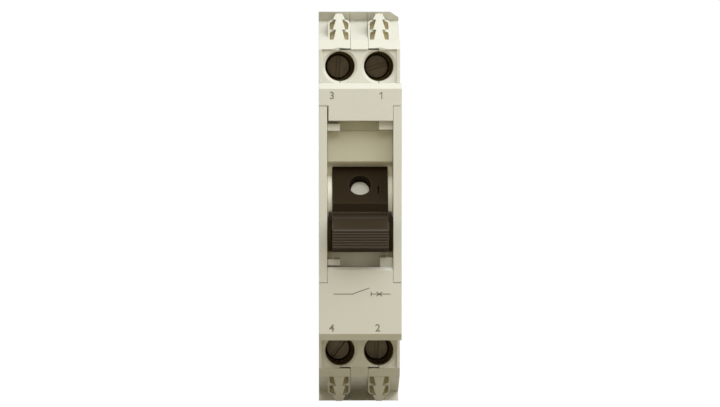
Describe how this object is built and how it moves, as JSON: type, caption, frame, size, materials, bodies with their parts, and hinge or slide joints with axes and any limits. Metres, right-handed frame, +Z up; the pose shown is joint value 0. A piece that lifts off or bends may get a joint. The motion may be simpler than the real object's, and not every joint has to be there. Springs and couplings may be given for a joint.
{
  "type": "circuit breaker",
  "caption": "Slim rail-mounted circuit breaker for a pole and neutral, with a black toggle in a well, clamp terminals at both ends, and its switching and trip mechanism inside",
  "frame": {"origin": "centre of the rear face that rests on the rail", "axes": "+Z up with the supply terminals on top, front faces -Y, +X right seen from the front"},
  "size_m": [0.0172, 0.0701, 0.0856],
  "materials": {
    "housing_plastic": "finely textured moulded plastic, warm light grey",
    "black_plastic": "satin moulded plastic, brownish black",
    "disc_plastic": "plain moulded plastic, light grey",
    "dark_steel": "black passivated steel",
    "zinc_steel": "zinc plated steel",
    "copper": "bare copper",
    "silver": "silver contact facing",
    "bimetal": "rolled bimetal",
    "fibre": "pressed insulating board"
  },
  "bodies": {
    "case": {"left_shell": "housing_plastic", "right_shell": "housing_plastic", "middle_frame": "housing_plastic", "front_cover": "housing_plastic", "toggle_axle": "zinc_steel", "carrier_axle": "zinc_steel", "case_rivets": "zinc_steel", "terminal_bar_1": "copper", "terminal_bar_2": "copper", "terminal_bar_3": "copper", "terminal_bar_4": "copper", "fixed_contact": "copper", "fixed_contact_tips": "silver", "coil_spool": "black_plastic", "trip_coil": "copper", "coil_core": "zinc_steel", "coil_yoke": "zinc_steel", "bimetal_strip": "bimetal", "setting_screw": "dark_steel", "pole_braid": "copper", "neutral_braid": "copper", "arc_plates": "zinc_steel", "arc_cheeks": "fibre", "plunger_spring": "zinc_steel", "clip_spring": "zinc_steel"},
    "toggle_body": {"toggle": "black_plastic", "state_disc": "disc_plastic", "toggle_spring": "zinc_steel"},
    "link_body": {"drive_link": "zinc_steel"},
    "carrier_body": {"contact_carrier": "black_plastic", "pole_contact_arm": "copper", "neutral_contact_arm": "copper", "moving_contact_tips": "silver", "contact_springs": "zinc_steel"},
    "latch_body": {"latch_lever": "zinc_steel"},
    "trip_body": {"trip_lever": "zinc_steel", "trip_spring": "zinc_steel"},
    "plunger_body": {"plunger": "zinc_steel"},
    "clip_body": {"rail_clip": "black_plastic"},
    "screw_1_body": {"terminal_screw_1": "dark_steel"},
    "cage_1_body": {"clamp_cage_1": "zinc_steel"},
    "screw_2_body": {"terminal_screw_2": "dark_steel"},
    "cage_2_body": {"clamp_cage_2": "zinc_steel"},
    "screw_3_body": {"terminal_screw_3": "dark_steel"},
    "cage_3_body": {"clamp_cage_3": "zinc_steel"},
    "screw_4_body": {"terminal_screw_4": "dark_steel"},
    "cage_4_body": {"clamp_cage_4": "zinc_steel"}
  },
  "joints": [
    {"name": "toggle_hinge", "type": "hinge", "parent": "case", "child": "toggle_body", "pos_m": [0, -0.04855, 0.00116], "axis": [-1, 0, 0], "range_deg": [0, 60]},
    {"name": "link_hinge", "type": "hinge", "parent": "toggle_body", "child": "link_body", "pos_m": [0.0049, -0.04491, 0.00326], "axis": [-1, 0, 0], "range_deg": [-60, 0]},
    {"name": "carrier_hinge", "type": "hinge", "parent": "case", "child": "carrier_body", "pos_m": [0, -0.0317, -0.0091], "axis": [-1, 0, 0], "range_deg": [-25.5, 0]},
    {"name": "trip_hinge", "type": "hinge", "parent": "carrier_body", "child": "trip_body", "pos_m": [0.0061, -0.0317, -0.0091], "axis": [-1, 0, 0], "range_deg": [0, 8], "stiffness_Nm_per_rad": 0.0005, "springref_deg": -11.46},
    {"name": "latch_hinge", "type": "hinge", "parent": "carrier_body", "child": "latch_body", "pos_m": [0.0048, -0.03619, -0.00809], "axis": [-1, 0, 0], "range_deg": [0, 4]},
    {"name": "plunger_slide", "type": "slide", "parent": "case", "child": "plunger_body", "axis": [0, 0, -1], "range_m": [0, 0.0017], "stiffness_N_per_m": 100, "springref_m": -0.0006, "deforming": ["plunger_spring"]},
    {"name": "rail_clip_slide", "type": "slide", "parent": "case", "child": "clip_body", "axis": [0, 0, -1], "range_m": [0, 0.003], "stiffness_N_per_m": 800, "springref_m": -0.002, "deforming": ["clip_spring"]},
    {"name": "screw_1_hinge", "type": "hinge", "parent": "case", "child": "screw_1_body", "pos_m": [0.00377, -0.0344, 0.0302], "axis": [0, 1, 0], "range_deg": [0, 1440]},
    {"name": "cage_1_slide", "type": "slide", "parent": "case", "child": "cage_1_body", "axis": [0, -1, 0], "range_m": [0, 0.0024]},
    {"name": "screw_2_hinge", "type": "hinge", "parent": "case", "child": "screw_2_body", "pos_m": [0.00377, -0.0344, -0.0302], "axis": [0, 1, 0], "range_deg": [0, 1440]},
    {"name": "cage_2_slide", "type": "slide", "parent": "case", "child": "cage_2_body", "axis": [0, -1, 0], "range_m": [0, 0.0024]},
    {"name": "screw_3_hinge", "type": "hinge", "parent": "case", "child": "screw_3_body", "pos_m": [-0.00447, -0.0344, 0.0302], "axis": [0, 1, 0], "range_deg": [0, 1440]},
    {"name": "cage_3_slide", "type": "slide", "parent": "case", "child": "cage_3_body", "axis": [0, -1, 0], "range_m": [0, 0.0024]},
    {"name": "screw_4_hinge", "type": "hinge", "parent": "case", "child": "screw_4_body", "pos_m": [-0.00447, -0.0344, -0.0302], "axis": [0, 1, 0], "range_deg": [0, 1440]},
    {"name": "cage_4_slide", "type": "slide", "parent": "case", "child": "cage_4_body", "axis": [0, -1, 0], "range_m": [0, 0.0024]}
  ],
  "couplings": [
    {"joint": "link_hinge", "follows": "toggle_hinge", "ratio": -1},
    {"joint": "carrier_hinge", "follows": "toggle_hinge", "ratio": -0.425},
    {"joint": "latch_hinge", "follows": "trip_hinge", "ratio": 0.5},
    {"joint": "screw_1_hinge", "follows": "cage_1_slide", "rad_per_m": 10472},
    {"joint": "screw_2_hinge", "follows": "cage_2_slide", "rad_per_m": 10472},
    {"joint": "screw_3_hinge", "follows": "cage_3_slide", "rad_per_m": 10472},
    {"joint": "screw_4_hinge", "follows": "cage_4_slide", "rad_per_m": 10472}
  ]
}
